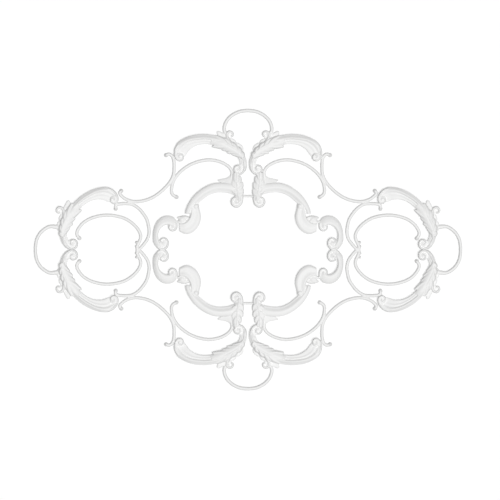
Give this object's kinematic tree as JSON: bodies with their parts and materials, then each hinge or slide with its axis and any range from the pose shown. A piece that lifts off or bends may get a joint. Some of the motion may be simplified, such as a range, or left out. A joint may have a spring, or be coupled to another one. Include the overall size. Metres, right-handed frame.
{
  "type": "ceiling medallion",
  "caption": "Open rococo ceiling medallion: mirrored acanthus scrolls, slender straps and crowning rings around an open middle, with a flat back.",
  "frame": {"origin": "centre of the open middle, in the plane of the flat back, which goes on the ceiling", "axes": "+X along the length, +Y across it, towards the top in the picture, +Z out of the carved face; on a ceiling +Z points down into the room"},
  "size_m": [1.4994, 0.986, 0.029],
  "materials": {
    "primed_white": "matt white primer on cast polyurethane"
  },
  "bodies": {
    "root": {"medallion": "primed_white"}
  },
  "joints": []
}
